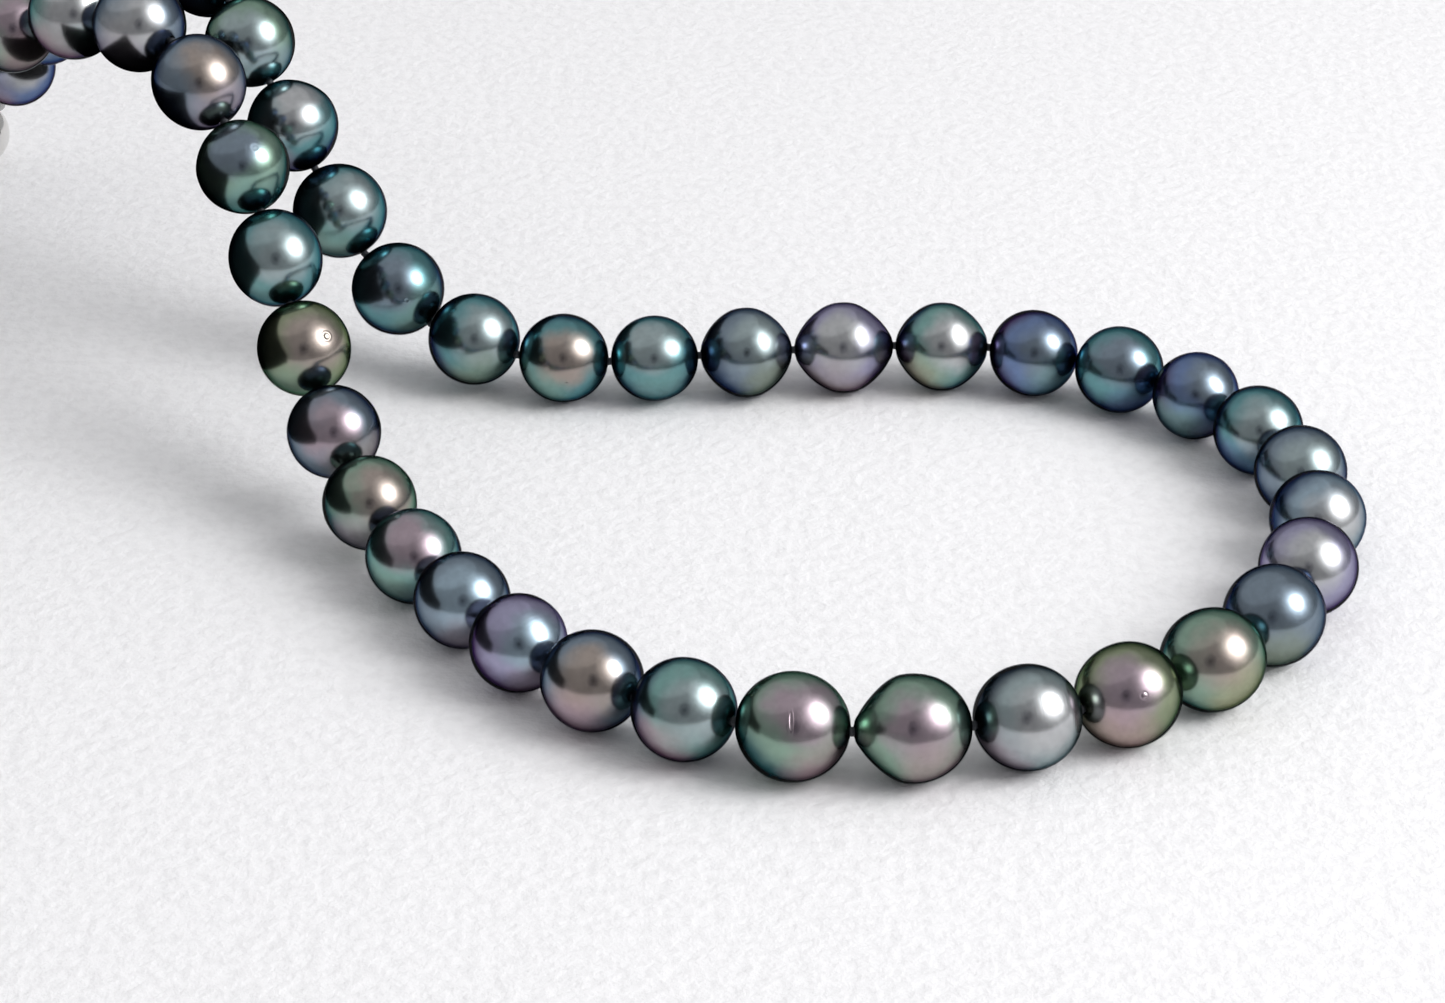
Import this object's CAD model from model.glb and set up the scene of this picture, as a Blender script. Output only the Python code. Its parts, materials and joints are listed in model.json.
"""A knotted strand of peacock pearls with an undone ball clasp, finished around its CAD frame.

Each pearl, its silk, the French wire loops and the two halves of the clasp are modelled where
the frame's joints put them.  Everything is in metres.
"""

import json
import math

import bmesh
import bpy
from bpy.props import (
    FloatProperty,
    FloatVectorProperty,
    IntProperty,
    PointerProperty,
)
from mathutils import Matrix, Vector

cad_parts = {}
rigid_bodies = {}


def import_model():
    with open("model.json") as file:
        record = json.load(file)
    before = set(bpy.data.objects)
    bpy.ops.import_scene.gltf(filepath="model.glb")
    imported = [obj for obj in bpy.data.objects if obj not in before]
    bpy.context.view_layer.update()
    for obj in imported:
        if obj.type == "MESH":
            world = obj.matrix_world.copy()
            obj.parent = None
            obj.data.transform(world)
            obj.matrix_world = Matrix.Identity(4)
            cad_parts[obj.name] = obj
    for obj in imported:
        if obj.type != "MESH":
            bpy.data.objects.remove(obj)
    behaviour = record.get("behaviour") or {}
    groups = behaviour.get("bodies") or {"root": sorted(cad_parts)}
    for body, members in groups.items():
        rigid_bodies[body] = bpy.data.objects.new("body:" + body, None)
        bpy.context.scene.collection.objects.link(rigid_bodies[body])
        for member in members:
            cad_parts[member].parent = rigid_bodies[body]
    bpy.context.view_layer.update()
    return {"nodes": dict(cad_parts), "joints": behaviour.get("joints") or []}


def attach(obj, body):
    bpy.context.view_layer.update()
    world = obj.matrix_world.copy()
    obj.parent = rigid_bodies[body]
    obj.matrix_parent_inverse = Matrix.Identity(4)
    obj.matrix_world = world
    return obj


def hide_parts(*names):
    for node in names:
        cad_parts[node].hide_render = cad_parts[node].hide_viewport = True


bl_info = {
    "name": "Pearl Strand",
    "version": (1, 0, 0),
    "blender": (4, 5, 0),
    "location": "View3D > Sidebar > Pearl Strand",
    "description": "Finishes a knotted pearl strand and its ball clasp",
    "category": "Object",
}

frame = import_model()

MM = 0.001
UP = Vector((0, 0, 1))
PEARLS = sorted(int(name[6:]) for name in frame["nodes"] if name.startswith("pearl_"))

# Nacre tints: how much red, green and blue the polished nacre gives back.
TINTS = {
    "silver": (0.46, 0.47, 0.48),
    "mist": (0.32, 0.39, 0.40),
    "mauve": (0.37, 0.30, 0.34),
    "lavender": (0.32, 0.31, 0.44),
    "rose": (0.44, 0.28, 0.31),
    "taupe": (0.35, 0.30, 0.27),
    "gold": (0.40, 0.36, 0.22),
    "olive": (0.25, 0.29, 0.19),
    "green": (0.23, 0.34, 0.27),
    "sea": (0.19, 0.35, 0.33),
    "teal": (0.12, 0.27, 0.29),
    "sky": (0.29, 0.38, 0.45),
    "blue": (0.14, 0.20, 0.35),
    "violet": (0.22, 0.15, 0.31),
    "slate": (0.19, 0.24, 0.29),
    "ink": (0.05, 0.07, 0.11),
}

# The tint that the nacre turns to outside a ring of each tint.
EDGES = {
    "green": "teal", "sea": "blue", "teal": "blue", "slate": "blue", "blue": "violet",
    "violet": "ink", "olive": "green", "lavender": "violet", "mist": "slate", "sky": "blue",
}

# Pearl number: tint of its heart, of the ring round it, and of the blush low on one side.
OVERTONES = {
    1: ("sea", "slate", "mauve"), 2: ("taupe", "green", "olive"), 3: ("mist", "teal", "rose"),
    4: ("taupe", "olive", "green"), 5: ("mauve", "green", "rose"), 6: ("silver", "sea", "rose"),
    7: ("silver", "slate", "mauve"), 8: ("taupe", "slate", "mauve"),
    9: ("slate", "green", "sea"), 10: ("mist", "teal", "sea"), 11: ("taupe", "olive", "green"),
    12: ("mauve", "slate", "taupe"), 13: ("taupe", "green", "mauve"),
    14: ("mauve", "sea", "green"), 15: ("sky", "slate", "mauve"),
    16: ("sky", "lavender", "mauve"), 17: ("taupe", "slate", "rose"),
    18: ("mist", "sea", "rose"), 19: ("mauve", "green", "rose"), 20: ("mauve", "green", "rose"),
    21: ("silver", "mist", "mauve"), 22: ("mauve", "olive", "rose"),
    23: ("taupe", "green", "gold"), 24: ("slate", "slate", "olive"),
    25: ("silver", "lavender", "rose"), 26: ("silver", "sky", "mist"),
    27: ("mist", "slate", "lavender"), 28: ("mist", "teal", "blue"),
    29: ("slate", "blue", "sea"), 30: ("slate", "teal", "blue"), 31: ("slate", "blue", "sea"),
    32: ("silver", "sea", "gold"), 33: ("silver", "lavender", "taupe"),
    34: ("mist", "slate", "olive"), 35: ("mist", "teal", "sea"), 36: ("taupe", "teal", "green"),
    37: ("mist", "teal", "olive"), 38: ("slate", "teal", "green"), 39: ("mist", "teal", "green"),
    40: ("silver", "teal", "mauve"), 41: ("mist", "green", "sky"), 42: ("slate", "blue", "teal"),
    43: ("mauve", "green", "olive"), 44: ("mist", "sea", "rose"), 45: ("taupe", "violet", "green"),
    46: ("sea", "slate", "blue"), 47: ("silver", "blue", "mauve"),
}

# Pearls whose growth lines show, and how strongly.
GROWTH_LINES = {21: 0.28, 20: 0.08, 16: 0.08, 29: 0.08}

# One pit or scar a pearl: where it is, how it is squeezed each way, its size and its depth.
PITS = {
    9: ((0.35, -0.60, 0.72), (1, 1, 1), 0.10, 0.5),
    11: ((0.56, -0.587, 0.583), (1, 1, 1), 0.085, 2.4),
    19: ((-0.05, -0.794, 0.607), (4.5, 1, 0.8), 0.16, 1.8),
    20: ((0.10, -0.98, 0.05), (1, 1, 1), 0.05, 0.8),
    22: ((0.20, -0.84, 0.50), (1, 1, 1), 0.06, -1.0),
    36: ((0.10, -0.98, -0.10), (1, 1, 2), 0.06, 1.2),
    38: ((0.25, -0.95, 0.18), (1, 1, 1), 0.05, 1.2),
}

# Knots whose two pearls would touch at the end of their swing if they sat any closer.
KEPT_APART = {12, 36, 38}

# How far each end of a pearl narrows to its drill hole, first towards the tongue end.
NARROWED = {
    20: (0.32, 0.0), 9: (0.10, 0.05), 16: (0.08, 0.08), 29: (0.10, 0.10), 32: (0.14, 0.14),
    33: (0.24, 0.20), 34: (0.14, 0.12), 40: (0.06, 0.10), 44: (0.10, 0.10), 2: (0.10, 0.0),
}

# How much of an edge tint is left at the edge, and where the nacre is seen at a slant.
EDGE_STRENGTH = 0.40
SLANT_STRENGTH = 0.30

# A pearl's heart looks up and forward.
HEART_WAY = Vector((0.15, -0.78, 0.60))

# Rest bends, in degrees, past which no pearl reaches over its knot, and over which it eases in.
SHARP_BEND = 24
EASY_BENDS = 8

# The loop's gap at the knot, and the faces round and along the wire that is coiled.
LOOP_OPENING = math.radians(40)
WIRE_FACES = 6
TURN_FACES = 14

# The lights: how wide each is, and where it stands from the strand.
LAMP_SIDE = 0.56
SCREEN_SIDES = (0.95, 1.4, 2.1)
OVERHEAD_SIDE = 3.2
TO_LAMP = Vector((0.75, -0.25, 0.62))
TO_OVERHEAD = Vector((-0.5, 0.45, 1.5))

# The dark wall that the ends of the strand hang over, seen in reflections alone.
WALL_NEAR = Vector((-0.0495, -0.0274, 0))
WALL_FAR = Vector((-0.0043, 0.0749, 0))
WALL_EXTRA = 0.10
WALL_GAP = 0.001
WALL_DEPTH = 0.012
WALL_HEIGHT = 0.036


# --- sizes and colours that a user may change


def size(name, description, default):
    """A length property, in metres."""
    return FloatProperty(
        name=name, description=description, default=default, min=0.0, unit="LENGTH", precision=5
    )


def share(name, description, default):
    """A property from nothing to all."""
    return FloatProperty(name=name, description=description, default=default, min=0.0, max=1.0)


def colour(name, description, default):
    """A colour property."""
    return FloatVectorProperty(
        name=name, description=description, default=default, subtype="COLOR", size=3, min=0, max=1
    )


class PearlSettings(bpy.types.PropertyGroup):
    """The pearls' own sizes and polish."""

    width: size("Ordinary Width", "Across the drill hole, of an ordinary pearl", 9.8 * MM)
    drill: size("Drill Hole", "Diameter of the drill hole", 0.9 * MM)
    chamfer: size("Mouth Chamfer", "Width of the bevel at each end of the hole", 0.15 * MM)
    gap: size("Knot Gap", "From one pearl to the next", 0.5 * MM)
    unevenness: size("Unevenness", "How far the skin strays from a true round", 0.10 * MM)
    closeness: size("Closeness", "How far each end reaches over its knot", 0.10 * MM)
    segments: IntProperty(
        name="Segments", description="Faces round a pearl", default=80, min=16, max=160
    )
    rings: IntProperty(name="Rings", description="Faces from end to end", default=52, min=8, max=96)
    roughness: share("Roughness", "How blurred the nacre's reflections are", 0.20)


class SilkSettings(bpy.types.PropertyGroup):
    """The silk and its knots."""

    thread: size("Thread", "Diameter of the silk in the holes", 0.66 * MM)
    knot: size("Knot", "Diameter of a tight knot", 0.95 * MM)
    colour: colour("Silk Colour", "Waxed dark silk", (0.012, 0.014, 0.018))


class ClaspSettings(bpy.types.PropertyGroup):
    """The loops of French wire and the clasp."""

    loop_radius: size("Loop Radius", "To the middle of the French wire", 1.4 * MM)
    loop_place: size("Loop Place", "From the end knot to the loop's middle", 2.199 * MM)
    tube: size("French Wire", "Diameter of the coiled tube", 0.9 * MM)
    wire: size("Wire", "Diameter of the wire that is coiled", 0.13 * MM)
    gold: colour("White Gold", "Rhodium-bright white gold", (0.80, 0.79, 0.77))


class StageSettings(bpy.types.PropertyGroup):
    """The pale cloth, the lights and the camera."""

    cloth: colour("Cloth Colour", "Pale pebbled cloth", (0.86, 0.855, 0.865))
    lamp: FloatProperty(
        name="Lamp Power", description="The small soft lamp, right", default=4.8, unit="POWER"
    )
    halo: FloatProperty(
        name="Halo Power", description="The lamp's wide screens", default=2.9, unit="POWER"
    )
    overhead: FloatProperty(
        name="Overhead Power", description="The broad fill overhead", default=5.5, unit="POWER"
    )
    room: FloatProperty(
        name="Room Light", description="Brightness of the room", default=0.44, min=0.0
    )
    lens: FloatProperty(
        name="Lens", description="Focal length in mm on a 36 mm frame", default=99.65, min=10
    )
    pitch: FloatProperty(
        name="Camera Pitch",
        description="How far the camera looks down",
        default=math.radians(28.78),
        subtype="ANGLE",
    )
    camera: FloatVectorProperty(
        name="Camera Place",
        description="Where the camera stands",
        default=(0.02473, -0.38493, 0.20237),
        subtype="XYZ",
        unit="LENGTH",
        size=3,
        precision=5,
    )


# --- helpers for modelling


def deselect_all():
    if bpy.context.mode != "OBJECT":
        bpy.ops.object.mode_set(mode="OBJECT")
    for thing in bpy.context.selected_objects:
        thing.select_set(False)
    bpy.context.view_layer.objects.active = None


def activate(thing):
    deselect_all()
    thing.select_set(True)
    bpy.context.view_layer.objects.active = thing


def pick_faces(thing, test):
    """Selects, in edit mode, the faces whose middle passes the test, and nothing else."""
    bpy.ops.mesh.select_mode(type="FACE")
    bpy.ops.mesh.select_all(action="DESELECT")
    mesh = bmesh.from_edit_mesh(thing.data)
    for face in mesh.faces:
        face.select_set(test(face.calc_center_median()))
    bmesh.update_edit_mesh(thing.data)


def pick_rim(thing, test):
    """Selects, in edit mode, the open edges whose middle passes the test."""
    bpy.ops.mesh.select_mode(type="EDGE")
    bpy.ops.mesh.select_all(action="DESELECT")
    mesh = bmesh.from_edit_mesh(thing.data)
    for edge in mesh.edges:
        middle = (edge.verts[0].co + edge.verts[1].co) / 2
        edge.select_set(edge.is_boundary and test(middle))
    bmesh.update_edit_mesh(thing.data)


def copy_of(thing, name):
    """A copy with its own mesh."""
    twin = thing.copy()
    twin.data = thing.data.copy()
    twin.name = name
    twin.data.name = name
    bpy.context.scene.collection.objects.link(twin)
    return twin


def smooth(thing, degrees=30):
    activate(thing)
    bpy.ops.object.shade_smooth_by_angle(angle=math.radians(degrees))


def paint(thing, material):
    thing.data.materials.clear()
    thing.data.materials.append(material)


# --- where the pearls are


def strand_knots():
    """The knots, from the tongue end to the ball end."""
    places = {}
    for joint in frame["joints"]:
        if joint["name"].startswith("knot_"):
            places[int(joint["name"].split("_")[1])] = Vector(joint["pos_m"])
        elif joint["name"].startswith("tongue_loop_"):
            places[0] = Vector(joint["pos_m"])
        elif joint["name"].startswith("ball_loop_"):
            places[len(PEARLS)] = Vector(joint["pos_m"])
    return [places[n] for n in range(len(PEARLS) + 1)]


KNOTS = strand_knots()


def level_frame(origin, along):
    """A matrix with X along, Y level and Z as upright as it can be."""
    x = Vector(along).normalized()
    y = UP.cross(x).normalized()
    z = x.cross(y)
    turn = Matrix((x, y, z)).transposed().to_4x4()
    return Matrix.Translation(origin) @ turn


def pearl_frame(number):
    before, after = KNOTS[number - 1], KNOTS[number]
    return level_frame((before + after) / 2, after - before)


def pearl_size(number):
    """(length, width) of a pearl's CAD node, silk left out."""
    before, after = KNOTS[number - 1], KNOTS[number]
    along = (after - before).normalized()
    middle = (before + after) / 2
    half = 0.0
    for vertex in frame["nodes"]["pearl_%02d" % number].data.vertices:
        arm = vertex.co - middle
        half = max(half, (arm - along * arm.dot(along)).length)
    gap = bpy.context.scene.strand_pearls.gap
    return (after - before).length - gap, 2 * half


# --- node groups


def new_group(name, inputs, outputs):
    """An empty shader node group with its sockets, and its two end nodes."""
    group = bpy.data.node_groups.new(name, "ShaderNodeTree")
    for title, kind, value in inputs:
        socket = group.interface.new_socket(name=title, in_out="INPUT", socket_type=kind)
        if value is not None:
            socket.default_value = value
    for title, kind in outputs:
        group.interface.new_socket(name=title, in_out="OUTPUT", socket_type=kind)
    return group, group.nodes.new("NodeGroupInput"), group.nodes.new("NodeGroupOutput")


def node(tree, kind, **values):
    """A new node.  A value's name is an attribute of the node, or else an input socket."""
    made = tree.nodes.new(kind)
    for name, value in values.items():
        if hasattr(made, name):
            setattr(made, name, value)
        else:
            made.inputs[name.replace("_", " ").title()].default_value = value
    return made


def maths(tree, operation, first, second=None, third=None, clamp=False):
    """A Math node fed with numbers or sockets.  Returns its output."""
    made = tree.nodes.new("ShaderNodeMath")
    made.operation = operation
    made.use_clamp = clamp
    for slot, value in enumerate((first, second, third)):
        if value is None:
            continue
        if isinstance(value, bpy.types.NodeSocket):
            tree.links.new(value, made.inputs[slot])
        else:
            made.inputs[slot].default_value = value
    return made.outputs[0]


def spread(tree, value, low, high, to_low=0.0, to_high=1.0):
    """A smooth step of a value from one range to another.  Returns its output."""
    made = tree.nodes.new("ShaderNodeMapRange")
    made.interpolation_type = "SMOOTHSTEP"
    tree.links.new(value, made.inputs["Value"])
    made.inputs["From Min"].default_value = low
    made.inputs["From Max"].default_value = high
    made.inputs["To Min"].default_value = to_low
    made.inputs["To Max"].default_value = to_high
    return made.outputs["Result"]


def mixed(tree, factor, first, second, blend="MIX"):
    """A colour mix.  Returns its output."""
    made = tree.nodes.new("ShaderNodeMix")
    made.data_type = "RGBA"
    made.blend_type = blend
    sockets = {"Factor": made.inputs[0], "A": made.inputs[6], "B": made.inputs[7]}
    for name, value in (("Factor", factor), ("A", first), ("B", second)):
        if isinstance(value, bpy.types.NodeSocket):
            tree.links.new(value, sockets[name])
        elif name == "Factor":
            sockets[name].default_value = value
        else:
            sockets[name].default_value = (*value[:3], 1.0)
    return made.outputs[2]


def new_material(name):
    """A material with nodes.  Returns it, its node tree and its shader."""
    material = bpy.data.materials.new(name)
    material.use_nodes = True
    return material, material.node_tree, material.node_tree.nodes["Principled BSDF"]


def vectors(tree, operation, first, second=None, output="Vector"):
    """A Vector Math node fed with sockets.  Returns one of its outputs."""
    made = tree.nodes.new("ShaderNodeVectorMath")
    made.operation = operation
    tree.links.new(first, made.inputs[0])
    if second is not None:
        tree.links.new(second, made.inputs["Scale" if operation == "SCALE" else 1])
    return made.outputs[output]


def dotted(tree, first, second):
    """The dot product of two vector sockets."""
    return vectors(tree, "DOT_PRODUCT", first, second, "Value")


def nacre_group():
    """Overtones that drift over the pearl in rings: heart, ring and edge, and a blush below."""
    group, start, end = new_group(
        "Nacre Overtones",
        [
            ("Way", "NodeSocketVector", None),
            ("Heart Way", "NodeSocketVector", (0, -0.88, 0.48)),
            ("Blush Way", "NodeSocketVector", (0.3, -0.8, -0.5)),
            ("Heart", "NodeSocketColor", (0.4, 0.4, 0.4, 1)),
            ("Ring", "NodeSocketColor", (0.1, 0.1, 0.1, 1)),
            ("Edge", "NodeSocketColor", (0.05, 0.05, 0.1, 1)),
            ("Blush", "NodeSocketColor", (0.4, 0.3, 0.3, 1)),
            ("Drift", "NodeSocketVector", (0, 0, 0)),
        ],
        [("Colour", "NodeSocketColor"), ("Cloud", "NodeSocketFloat")],
    )
    shifted = vectors(group, "ADD", start.outputs["Way"], start.outputs["Drift"])
    broad = node(group, "ShaderNodeTexNoise", scale=1.3, detail=2.0)
    fine = node(group, "ShaderNodeTexNoise", scale=5.0, detail=5.0, roughness=0.6)
    for texture in (broad, fine):
        group.links.new(shifted, texture.inputs["Vector"])
    wander = maths(group, "MULTIPLY_ADD", broad.outputs["Fac"], 0.5, -0.25)
    facing = dotted(group, start.outputs["Way"], start.outputs["Heart Way"])
    facing = maths(group, "ABSOLUTE", maths(group, "ADD", facing, wander))
    heart = spread(group, facing, 0.60, 0.97)
    edge = spread(group, facing, 0.62, 0.12)
    blush = dotted(group, start.outputs["Way"], start.outputs["Blush Way"])
    blush = spread(group, maths(group, "SUBTRACT", blush, wander), 0.5, 1.0, 0.0, 0.6)
    tone = mixed(group, heart, start.outputs["Ring"], start.outputs["Heart"])
    tone = mixed(group, edge, tone, start.outputs["Edge"])
    tone = mixed(group, blush, tone, start.outputs["Blush"])
    mottle = spread(group, fine.outputs["Fac"], 0.3, 0.7, 0.93, 1.05)
    group.links.new(vectors(group, "SCALE", tone, mottle), end.inputs["Colour"])
    group.links.new(fine.outputs["Fac"], end.inputs["Cloud"])
    return group


def skin_group():
    """Height of a pearl's skin: fine grain, growth lines round the hole, and one pit."""
    group, start, end = new_group(
        "Nacre Skin",
        [
            ("Way", "NodeSocketVector", None),
            ("Hole Way", "NodeSocketVector", (1, 0, 0)),
            ("Growth Lines", "NodeSocketFloat", 0.0),
            ("Pit Way", "NodeSocketVector", (0, 0, -1)),
            ("Pit Stretch", "NodeSocketVector", (1, 1, 1)),
            ("Pit Size", "NodeSocketFloat", 0.05),
            ("Pit Depth", "NodeSocketFloat", 0.0),
        ],
        [("Height", "NodeSocketFloat")],
    )
    grain = node(group, "ShaderNodeTexNoise", scale=22.0, detail=3.0)
    group.links.new(start.outputs["Way"], grain.inputs["Vector"])
    along = dotted(group, start.outputs["Way"], start.outputs["Hole Way"])
    wobble = maths(group, "MULTIPLY_ADD", grain.outputs["Fac"], 0.02, along)
    lines = node(group, "ShaderNodeTexNoise", noise_dimensions="1D", scale=26.0, detail=4.0)
    group.links.new(wobble, lines.inputs["W"])
    lines = maths(group, "MULTIPLY", lines.outputs["Fac"], start.outputs["Growth Lines"])
    apart = vectors(group, "SUBTRACT", start.outputs["Way"], start.outputs["Pit Way"])
    squeezed = vectors(group, "MULTIPLY", apart, start.outputs["Pit Stretch"])
    reach = vectors(group, "LENGTH", squeezed, output="Value")
    outward = maths(group, "DIVIDE", reach, start.outputs["Pit Size"])
    hollow = spread(group, outward, 1.0, 0.3)
    lip = spread(group, outward, 1.7, 1.05)
    lip = maths(group, "MULTIPLY", lip, spread(group, outward, 0.7, 1.05))
    dip = maths(group, "MULTIPLY_ADD", lip, 0.35, maths(group, "MULTIPLY", hollow, -1.0))
    dip = maths(group, "MULTIPLY", dip, start.outputs["Pit Depth"])
    height = maths(group, "MULTIPLY_ADD", grain.outputs["Fac"], 0.05, lines)
    group.links.new(maths(group, "ADD", height, dip), end.inputs["Height"])
    return group


def nacre_material(number, groups, roughness):
    """One pearl's nacre."""
    material, tree, shader = new_material("Nacre %02d" % number)
    heart, ring, blush = OVERTONES[number]
    edge = TINTS[EDGES[ring]]
    point = node(tree, "ShaderNodeAttribute", attribute_name="pearl_way")
    tones, skin = (tree.nodes.new("ShaderNodeGroup") for group in groups)
    for inner, group in zip((tones, skin), groups):
        inner.node_tree = group
        tree.links.new(point.outputs["Vector"], inner.inputs["Way"])
    turn = 2.4 * number
    lean = Vector((0.25 * math.cos(turn), 0.2 * math.sin(turn), 0.2 * math.sin(2.1 * turn)))
    tones.inputs["Heart Way"].default_value = (HEART_WAY + lean).normalized()
    side = 0.75 * math.sin(1.7 * number)
    tones.inputs["Blush Way"].default_value = Vector((side, -0.75, -0.55)).normalized()
    for socket, name in (("Heart", heart), ("Ring", ring), ("Blush", blush)):
        tones.inputs[socket].default_value = (*TINTS[name], 1)
    tones.inputs["Edge"].default_value = (*(EDGE_STRENGTH * part for part in edge), 1)
    tones.inputs["Drift"].default_value = (3.1 * number, 1.7 * number, 0)
    skin.inputs["Hole Way"].default_value = (KNOTS[number] - KNOTS[number - 1]).normalized()
    skin.inputs["Growth Lines"].default_value = GROWTH_LINES.get(number, 0.03)
    if number in PITS:
        way, stretch, reach, depth = PITS[number]
        skin.inputs["Pit Way"].default_value = Vector(way).normalized()
        skin.inputs["Pit Stretch"].default_value = stretch
        skin.inputs["Pit Size"].default_value = reach
        skin.inputs["Pit Depth"].default_value = depth
    tree.links.new(tones.outputs["Colour"], shader.inputs["Base Color"])
    soft = maths(tree, "MULTIPLY_ADD", tones.outputs["Cloud"], 0.08, roughness - 0.04)
    tree.links.new(soft, shader.inputs["Roughness"])
    bump = node(tree, "ShaderNodeBump", strength=0.5, distance=0.00006)
    tree.links.new(skin.outputs["Height"], bump.inputs["Height"])
    tree.links.new(bump.outputs["Normal"], shader.inputs["Normal"])
    shader.inputs["Metallic"].default_value = 1.0
    shader.inputs["Specular Tint"].default_value = (*(SLANT_STRENGTH * part for part in edge), 1)
    shader.inputs["Coat Weight"].default_value = 0.10
    shader.inputs["Coat Roughness"].default_value = 0.04
    return material


def silk_material(tint):
    """Waxed twisted silk."""
    material, tree, shader = new_material("Waxed Silk")
    place = tree.nodes.new("ShaderNodeTexCoord")
    strands = node(tree, "ShaderNodeTexNoise", scale=9000.0, detail=3.0)
    tree.links.new(place.outputs["Object"], strands.inputs["Vector"])
    paler = [min(1.0, 2.2 * part + 0.01) for part in tint]
    tone = mixed(tree, strands.outputs["Fac"], tint, paler)
    tree.links.new(tone, shader.inputs["Base Color"])
    bump = node(tree, "ShaderNodeBump", strength=0.6, distance=0.00003)
    tree.links.new(strands.outputs["Fac"], bump.inputs["Height"])
    tree.links.new(bump.outputs["Normal"], shader.inputs["Normal"])
    shader.inputs["Roughness"].default_value = 0.55
    return material


def cloth_material(tint):
    """Pale cloth with a pebbled nap."""
    material, tree, shader = new_material("Pebbled Cloth")
    place = tree.nodes.new("ShaderNodeTexCoord")
    pebbles = node(tree, "ShaderNodeTexNoise", scale=650.0, detail=4.0, roughness=0.55)
    waves = node(tree, "ShaderNodeTexNoise", scale=60.0, detail=3.0)
    for texture in (pebbles, waves):
        tree.links.new(place.outputs["Object"], texture.inputs["Vector"])
    height = maths(tree, "MULTIPLY_ADD", waves.outputs["Fac"], 0.8, pebbles.outputs["Fac"])
    bump = node(tree, "ShaderNodeBump", strength=0.45, distance=0.0006)
    tree.links.new(height, bump.inputs["Height"])
    tree.links.new(bump.outputs["Normal"], shader.inputs["Normal"])
    darker = [0.95 * part for part in tint]
    low = spread(tree, pebbles.outputs["Fac"], 0.35, 0.6)
    tree.links.new(mixed(tree, low, darker, tint), shader.inputs["Base Color"])
    shader.inputs["Roughness"].default_value = 0.9
    shader.inputs["Specular IOR Level"].default_value = 0.2
    return material


# --- the pearls


def base_pearl():
    """An ordinary pearl drilled along X, with its centre on the origin."""
    sizes = bpy.context.scene.strand_pearls
    radius = sizes.width / 2
    hole = sizes.drill / 2
    mouth = hole + sizes.chamfer
    deselect_all()
    bpy.ops.mesh.primitive_uv_sphere_add(
        segments=sizes.segments, ring_count=sizes.rings, radius=radius
    )
    pearl = bpy.context.object
    bpy.ops.object.mode_set(mode="EDIT")
    step = math.pi / sizes.rings
    cap = step * math.ceil(mouth / radius / step)
    pick_faces(pearl, lambda p: math.hypot(p.x, p.y) < radius * math.sin(cap - step / 4))
    bpy.ops.mesh.delete(type="FACE")
    ring = radius * math.sin(cap)
    for side in (1, -1):
        pick_rim(pearl, lambda p: p.z * side > 0)
        lift = math.sqrt(radius**2 - mouth**2) - radius * math.cos(cap)
        bpy.ops.transform.resize(value=(mouth / ring, mouth / ring, 1))
        bpy.ops.transform.translate(value=(0, 0, side * lift))
        bpy.ops.mesh.extrude_region_move(
            TRANSFORM_OT_translate={"value": (0, 0, -side * sizes.chamfer)}
        )
        bpy.ops.transform.resize(value=(hole / mouth, hole / mouth, 1))
    pick_rim(pearl, lambda p: True)
    bpy.ops.mesh.bridge_edge_loops()
    bpy.ops.mesh.select_all(action="SELECT")
    bpy.ops.mesh.normals_make_consistent(inside=False)
    bpy.ops.object.mode_set(mode="OBJECT")
    pearl.data.transform(Matrix.Rotation(math.pi / 2, 4, "Y"))
    return pearl


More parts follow.
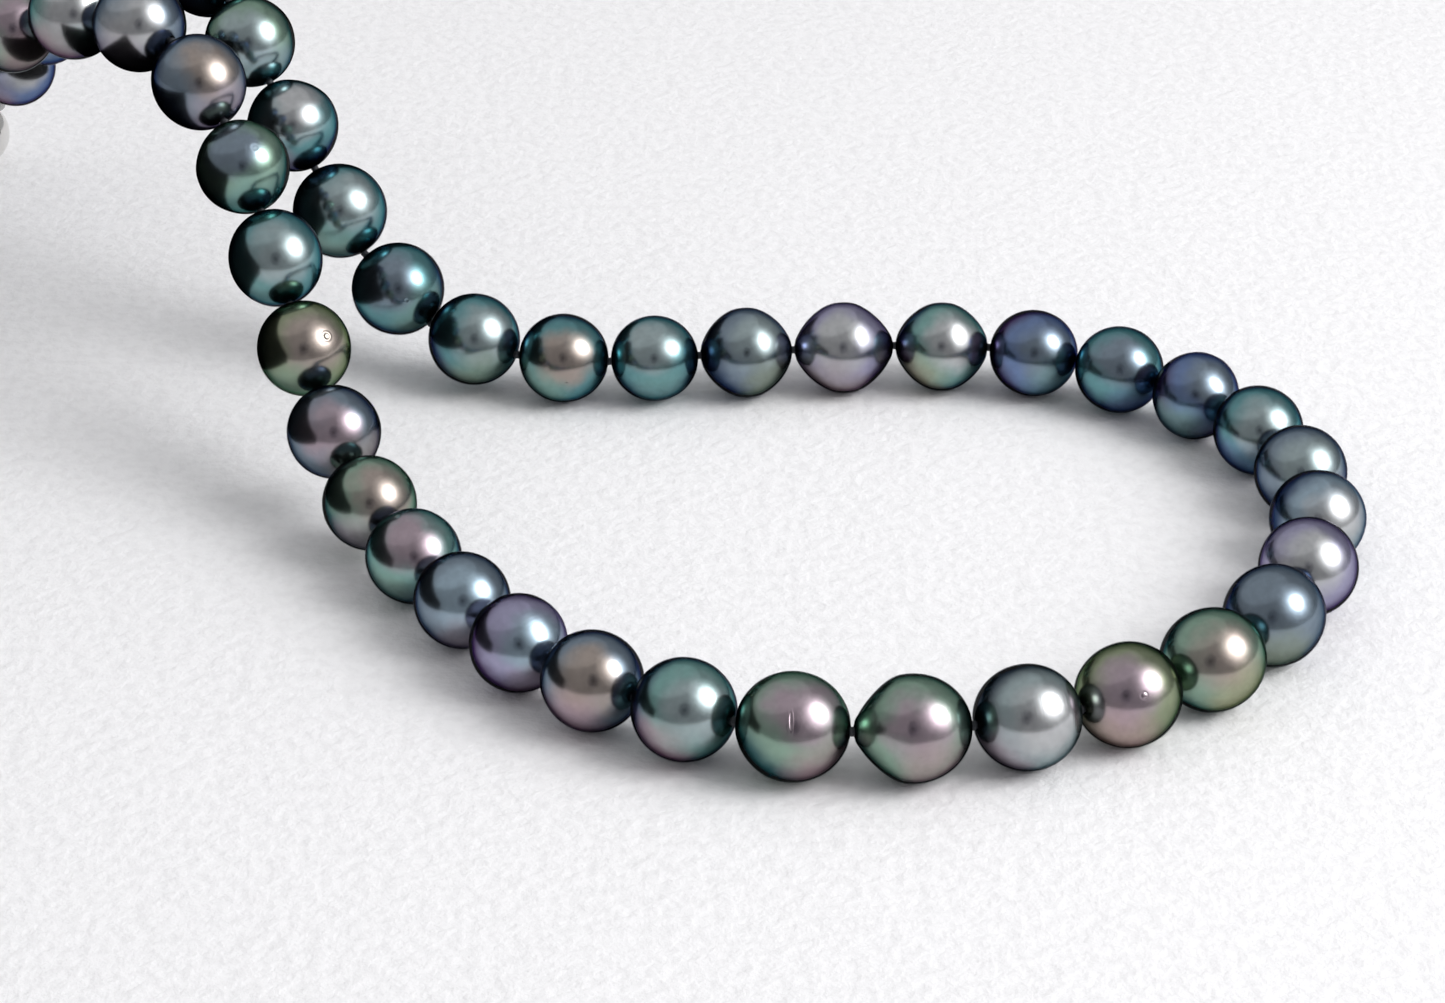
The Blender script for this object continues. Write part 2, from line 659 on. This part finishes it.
class STRAND_OT_pearls(bpy.types.Operator):
    """Make the drilled pearls, each with its own skin and overtones"""

    bl_idname = "strand.pearls"
    bl_label = "Make Pearls"

    def execute(self, context):
        settings = context.scene.strand_pearls
        ordinary = base_pearl()
        groups = (nacre_group(), skin_group())
        clouds = bpy.data.textures.new("Uneven Skin", "CLOUDS")
        clouds.noise_scale = 0.65 * settings.width
        for number in PEARLS:
            length, width = pearl_size(number)
            pearl = copy_of(ordinary, "pearl_%02d_nacre" % number)
            half = settings.width / 2
            reach = [self.reach(number, side) * settings.closeness for side in (-1, 1)]
            self.narrow(pearl, NARROWED.get(number, (0, 0)), half)
            for vertex in pearl.data.vertices:
                side = vertex.co.x > 0
                vertex.co.x *= (length / 2 + reach[side]) / half
            pearl.data.transform(Matrix.Diagonal((1, width / 2 / half, width / 2 / half, 1)))
            place = pearl_frame(number)
            pearl.data.transform(place)
            self.give_ways(pearl, place.translation, width / 2)
            self.roughen(pearl, clouds, settings.unevenness)
            paint(pearl, nacre_material(number, groups, settings.roughness))
            smooth(pearl)
            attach(pearl, "pearl_%02d" % number)
            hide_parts("pearl_%02d" % number)
        bpy.data.objects.remove(ordinary)
        return {"FINISHED"}

    @staticmethod
    def reach(number, side):
        """How much of the closeness an end takes: none where the strand bends sharply."""
        knot = number if side > 0 else number - 1
        if knot in KEPT_APART:
            return 0.0
        near = KNOTS[knot]
        own = (KNOTS[number] - KNOTS[number - 1]) * side
        spot = number + 1 if side > 0 else number - 2
        if not 0 <= spot < len(KNOTS):
            return 0.0
        bend = math.degrees(own.angle(KNOTS[spot] - near))
        return max(0.0, min(1.0, (SHARP_BEND - bend) / EASY_BENDS))

    @staticmethod
    def narrow(pearl, ends, half):
        """Draws each end of a round pearl in towards its drill hole."""
        for vertex in pearl.data.vertices:
            x, y, z = vertex.co / half
            out = max(0.0, (abs(x) - 0.2) / 0.8) ** 1.5
            rim = min(1.0, math.hypot(y, z) / 0.4)
            share_in = 1 - ends[x > 0] * out * rim
            vertex.co.y *= share_in
            vertex.co.z *= share_in

    @staticmethod
    def roughen(pearl, clouds, amount):
        """Gives the skin slow rises and falls."""
        activate(pearl)
        rise = pearl.modifiers.new("Uneven Skin", "DISPLACE")
        rise.texture = clouds
        rise.texture_coords = "LOCAL"
        rise.strength = amount
        rise.mid_level = 0.5
        bpy.ops.object.modifier_apply(modifier=rise.name)

    @staticmethod
    def give_ways(pearl, centre, radius):
        """Stores each vertex's direction from the pearl's middle."""
        ways = pearl.data.attributes.new("pearl_way", "FLOAT_VECTOR", "POINT")
        for vertex in pearl.data.vertices:
            ways.data[vertex.index].vector = (vertex.co - centre) / radius


class STRAND_OT_silk(bpy.types.Operator):
    """Thread the silk and tie a knot after each pearl"""

    bl_idname = "strand.silk"
    bl_label = "Thread Silk"

    def execute(self, context):
        settings = context.scene.strand_silk
        silk = silk_material(settings.colour)
        children = {joint["child"]: joint["parent"] for joint in frame["joints"]}
        for number in PEARLS:
            body = "pearl_%02d" % number
            place = pearl_frame(number)
            half = (KNOTS[number] - KNOTS[number - 1]).length / 2
            parent = children.get(body)
            ends = [-1, 1]
            if parent is not None:
                ends = [-1] if int(parent[6:]) > number else [1]
            thread = self.thread(body + "_silk", settings, half, ends)
            thread.data.transform(place)
            paint(thread, silk)
            smooth(thread, 40)
            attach(thread, body)
            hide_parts(body)
        return {"FINISHED"}

    @staticmethod
    def thread(name, settings, half, ends):
        """Silk through one pearl, along X, with a knot at the ends asked for."""
        deselect_all()
        bpy.ops.mesh.primitive_cylinder_add(
            vertices=16, radius=settings.thread / 2, depth=2 * half, rotation=(0, math.pi / 2, 0)
        )
        parts = [bpy.context.object]
        for side in ends:
            for tilt in (0.5, -0.5):
                bpy.ops.mesh.primitive_torus_add(
                    major_segments=20,
                    minor_segments=10,
                    major_radius=settings.knot * 0.24,
                    minor_radius=settings.knot * 0.26,
                    location=(side * half, 0, 0),
                    rotation=(0, math.pi / 2 + tilt, tilt),
                )
                parts.append(bpy.context.object)
        deselect_all()
        for part in parts:
            part.select_set(True)
        bpy.context.view_layer.objects.active = parts[0]
        bpy.ops.object.join()
        joined = bpy.context.object
        bpy.ops.object.transform_apply(location=True, rotation=True, scale=True)
        joined.name = name
        joined.data.name = name
        return joined


# --- the loops and the clasp


def polish_group():
    """Hairline wear on polished metal."""
    group, start, end = new_group(
        "Hairline Wear",
        [
            ("Place", "NodeSocketVector", None),
            ("Grain", "NodeSocketFloat", 1500.0),
            ("Polish", "NodeSocketFloat", 0.10),
            ("Bright", "NodeSocketColor", (0.8, 0.8, 0.8, 1)),
            ("Dull", "NodeSocketColor", (0.6, 0.6, 0.6, 1)),
        ],
        [
            ("Colour", "NodeSocketColor"),
            ("Blur", "NodeSocketFloat"),
            ("Height", "NodeSocketFloat"),
        ],
    )
    drawn = group.nodes.new("ShaderNodeMapping")
    drawn.inputs["Scale"].default_value = (1.0, 0.12, 1.0)
    drawn.inputs["Rotation"].default_value = (0.3, 0.2, 0.6)
    group.links.new(start.outputs["Place"], drawn.inputs["Vector"])
    hairs = node(group, "ShaderNodeTexNoise", detail=4.0)
    smears = node(group, "ShaderNodeTexNoise", detail=2.0)
    group.links.new(drawn.outputs["Vector"], hairs.inputs["Vector"])
    group.links.new(start.outputs["Place"], smears.inputs["Vector"])
    group.links.new(start.outputs["Grain"], hairs.inputs["Scale"])
    wide = maths(group, "MULTIPLY", start.outputs["Grain"], 0.15)
    group.links.new(wide, smears.inputs["Scale"])
    worn = spread(group, smears.outputs["Fac"], 0.35, 0.75)
    tone = mixed(group, worn, start.outputs["Bright"], start.outputs["Dull"])
    group.links.new(tone, end.inputs["Colour"])
    blur = maths(group, "MULTIPLY_ADD", hairs.outputs["Fac"], 0.12, start.outputs["Polish"])
    blur = maths(group, "MULTIPLY_ADD", worn, 0.08, blur)
    group.links.new(blur, end.inputs["Blur"])
    group.links.new(hairs.outputs["Fac"], end.inputs["Height"])
    return group


def metal_material(name, group, bright, dull, polish, depth):
    """A polished metal."""
    material, tree, shader = new_material(name)
    place = tree.nodes.new("ShaderNodeTexCoord")
    wear = tree.nodes.new("ShaderNodeGroup")
    wear.node_tree = group
    tree.links.new(place.outputs["Object"], wear.inputs["Place"])
    wear.inputs["Bright"].default_value = (*bright, 1)
    wear.inputs["Dull"].default_value = (*dull, 1)
    wear.inputs["Polish"].default_value = polish
    tree.links.new(wear.outputs["Colour"], shader.inputs["Base Color"])
    tree.links.new(wear.outputs["Blur"], shader.inputs["Roughness"])
    bump = node(tree, "ShaderNodeBump", strength=0.25, distance=depth)
    tree.links.new(wear.outputs["Height"], bump.inputs["Height"])
    tree.links.new(bump.outputs["Normal"], shader.inputs["Normal"])
    shader.inputs["Metallic"].default_value = 1.0
    return material


def clasp_pivot(name):
    """Where a half of the clasp turns in its loop."""
    for joint in frame["joints"]:
        if joint["name"] == name:
            return Vector(joint["pos_m"])
    raise RuntimeError("no joint called " + name)


class STRAND_OT_loops(bpy.types.Operator):
    """Coil the French wire round the silk at each end"""

    bl_idname = "strand.loops"
    bl_label = "Coil Loops"

    def execute(self, context):
        settings = context.scene.strand_clasp
        metal = metal_material(
            "French Wire", bpy.data.node_groups["Hairline Wear"],
            (0.72, 0.72, 0.71), (0.50, 0.50, 0.50), 0.16, 0.000004,
        )
        for end, knot in (("tongue", KNOTS[0]), ("ball", KNOTS[-1])):
            coil = self.coil(end + "_loop_coil", settings)
            pivot = clasp_pivot("clasp_%s_turn" % end)
            coil.data.transform(level_frame(knot, pivot - knot))
            paint(coil, metal)
            smooth(coil, 60)
            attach(coil, end + "_loop")
            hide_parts(end + "_loop_french_wire")
            paint(frame["nodes"][end + "_loop_silk"], bpy.data.materials["Waxed Silk"])
        return {"FINISHED"}

    @staticmethod
    def coil(name, settings):
        """A close coil of fine wire, bent round into a loop that faces the last knot."""
        sweep = 2 * math.pi - LOOP_OPENING
        length = settings.loop_radius * sweep
        pitch = 1.12 * settings.wire
        turns = int(length / pitch)
        middle = (settings.tube - settings.wire) / 2
        deselect_all()
        bpy.ops.mesh.primitive_circle_add(
            vertices=WIRE_FACES,
            radius=settings.wire / 2,
            location=(0, 0, middle),
            rotation=(math.pi / 2, 0, 0),
        )
        bpy.ops.object.transform_apply(location=True, rotation=True, scale=True)
        coil = bpy.context.object
        coil.name = name
        coil.data.name = name
        screw = coil.modifiers.new("Wind", "SCREW")
        screw.axis = "X"
        screw.iterations = turns
        screw.screw_offset = length / turns
        screw.steps = TURN_FACES
        screw.render_steps = TURN_FACES
        bpy.ops.object.modifier_apply(modifier=screw.name)
        bpy.ops.object.mode_set(mode="EDIT")
        pick_rim(coil, lambda p: True)
        bpy.ops.mesh.fill_holes(sides=WIRE_FACES)
        bpy.ops.mesh.select_all(action="SELECT")
        bpy.ops.mesh.normals_make_consistent(inside=False)
        bpy.ops.object.mode_set(mode="OBJECT")
        low = min(vertex.co.x for vertex in coil.data.vertices)
        run = max(vertex.co.x for vertex in coil.data.vertices) - low
        for vertex in coil.data.vertices:
            turn = (vertex.co.x - low) / run * sweep - sweep / 2
            arm = settings.loop_radius + vertex.co.z
            vertex.co = (
                settings.loop_place + arm * math.cos(turn), vertex.co.y, arm * math.sin(turn)
            )
        return coil


class STRAND_OT_clasp(bpy.types.Operator):
    """Polish the two halves of the ball clasp"""

    bl_idname = "strand.clasp"
    bl_label = "Polish Clasp"

    def execute(self, context):
        settings = context.scene.strand_clasp
        group = polish_group()
        bright = settings.gold
        dull = [0.86 * part for part in bright]
        shiny = metal_material("Polished White Gold", group, bright, dull, 0.05, 0.000003)
        spring = metal_material("Spring White Gold", group, bright, dull, 0.16, 0.000006)
        for name, thing in frame["nodes"].items():
            if name.startswith("clasp_"):
                leaf = "leaf" in name or "mouth" in name
                paint(thing, spring if leaf else shiny)
        return {"FINISHED"}


# --- the stage


class STRAND_OT_stage(bpy.types.Operator):
    """Set the pale cloth, the soft lights and the camera"""

    bl_idname = "strand.stage"
    bl_label = "Set Stage"

    def execute(self, context):
        settings = context.scene.strand_stage
        deselect_all()
        bpy.ops.mesh.primitive_plane_add(size=6.0)
        cloth = context.object
        cloth.name = "pale_cloth"
        paint(cloth, cloth_material(settings.cloth))
        self.room(settings)
        aim = Vector((0.0, -0.01, 0.0))
        self.soft_lamp("Lamp", settings.lamp, LAMP_SIDE, aim + TO_LAMP, aim)
        for step, side in enumerate(SCREEN_SIDES):
            screen = aim + TO_LAMP * (1.1 + 0.1 * step)
            self.soft_lamp("Screen %d" % (step + 1), settings.halo, side, screen, aim)
        self.soft_lamp("Overhead", settings.overhead, OVERHEAD_SIDE, aim + TO_OVERHEAD, aim)
        eye = Vector(settings.camera)
        back = Vector((0, -math.cos(settings.pitch), math.sin(settings.pitch)))
        self.dark_card("dark_sitter", (0.09, 0.12), eye + 0.06 * back, back, 0.20)
        self.dark_card("dark_lens", (0.030, 0.030), eye + 0.04 * back, back, 0.01)
        self.dark_block()
        bpy.ops.object.camera_add(
            location=settings.camera, rotation=(math.pi / 2 - settings.pitch, 0, 0)
        )
        camera = context.object
        camera.data.lens = settings.lens
        camera.data.sensor_width = 36
        camera.data.clip_start = 0.01
        camera.data.clip_end = 20
        context.scene.camera = camera
        context.scene.view_settings.view_transform = "Standard"
        return {"FINISHED"}

    @staticmethod
    def soft_lamp(name, power, side, place, aim):
        """A round area light that faces the strand."""
        bpy.ops.object.light_add(type="AREA", location=place)
        lamp = bpy.context.object
        lamp.name = name
        lamp.data.shape = "DISK"
        lamp.data.size = side
        lamp.data.energy = power
        lamp.rotation_euler = (aim - place).to_track_quat("-Z", "Y").to_euler()

    @staticmethod
    def reflected_only(card, shade):
        """Leaves a card to be seen in reflections alone."""
        material, _, shader = new_material(card.name)
        shader.inputs["Base Color"].default_value = (shade, shade, 1.1 * shade, 1)
        shader.inputs["Roughness"].default_value = 0.8
        shader.inputs["Specular IOR Level"].default_value = 0.1
        paint(card, material)
        card.visible_camera = False
        card.visible_diffuse = False
        card.visible_shadow = False

    def dark_card(self, name, half, place, facing, shade):
        """An oval card that faces the strand."""
        bpy.ops.mesh.primitive_circle_add(vertices=48, radius=1, fill_type="NGON", location=place)
        card = bpy.context.object
        card.name = name
        card.scale = (half[0], half[1], 1)
        card.rotation_euler = facing.to_track_quat("Z", "Y").to_euler()
        self.reflected_only(card, shade)

    def dark_block(self):
        """The dark wall over whose rim the two ends of the strand hang."""
        along = (WALL_FAR - WALL_NEAR).normalized()
        across = Vector((-along.y, along.x, 0))
        corner = WALL_NEAR - WALL_EXTRA * along
        deselect_all()
        bpy.ops.mesh.primitive_cube_add(size=1)
        block = bpy.context.object
        block.name = "dark_block"
        block.scale = ((WALL_FAR - corner).length, WALL_DEPTH, WALL_HEIGHT)
        middle = (corner + WALL_FAR) / 2 + (WALL_GAP + WALL_DEPTH / 2) * across
        block.location = (middle.x, middle.y, WALL_HEIGHT / 2)
        block.rotation_euler = (0, 0, math.atan2(along.y, along.x))
        self.reflected_only(block, 0.008)

    @staticmethod
    def room(settings):
        """A room that is dim low down in front and paler overhead and behind."""
        world = bpy.data.worlds.new("Pale Room")
        bpy.context.scene.world = world
        world.use_nodes = True
        tree = world.node_tree
        back = tree.nodes["Background"]
        place = tree.nodes.new("ShaderNodeTexCoord")
        parts = tree.nodes.new("ShaderNodeSeparateXYZ")
        tree.links.new(place.outputs["Generated"], parts.inputs[0])
        slant = maths(tree, "MULTIPLY_ADD", parts.outputs["Y"], 0.55, parts.outputs["Z"])
        level = spread(tree, slant, -0.55, 1.05)
        tone = mixed(tree, level, (0.75, 0.75, 0.77), (1.0, 1.0, 1.02))
        tree.links.new(tone, back.inputs["Color"])
        back.inputs["Strength"].default_value = settings.room


class STRAND_PT_panel(bpy.types.Panel):
    """The strand's steps and sizes"""

    bl_label = "Pearl Strand"
    bl_space_type = "VIEW_3D"
    bl_region_type = "UI"
    bl_category = "Pearl Strand"

    def draw(self, context):
        for step in STEPS:
            self.layout.operator(step.bl_idname)
        for name in SETTINGS:
            settings = getattr(context.scene, name)
            box = self.layout.box()
            for title in settings.__annotations__:
                box.prop(settings, title)


SETTINGS = {
    "strand_pearls": PearlSettings,
    "strand_silk": SilkSettings,
    "strand_clasp": ClaspSettings,
    "strand_stage": StageSettings,
}
STEPS = [
    STRAND_OT_stage,
    STRAND_OT_pearls,
    STRAND_OT_silk,
    STRAND_OT_clasp,
    STRAND_OT_loops,
]


def register():
    for kind in (*SETTINGS.values(), *STEPS, STRAND_PT_panel):
        bpy.utils.register_class(kind)
    for name, kind in SETTINGS.items():
        setattr(bpy.types.Scene, name, PointerProperty(type=kind))


def unregister():
    for name in SETTINGS:
        delattr(bpy.types.Scene, name)
    for kind in (STRAND_PT_panel, *reversed(STEPS), *reversed(list(SETTINGS.values()))):
        bpy.utils.unregister_class(kind)


def main():
    register()
    bpy.ops.strand.stage()
    bpy.ops.strand.pearls()
    bpy.ops.strand.silk()
    bpy.ops.strand.clasp()
    bpy.ops.strand.loops()


if __name__ == "__main__":
    main()
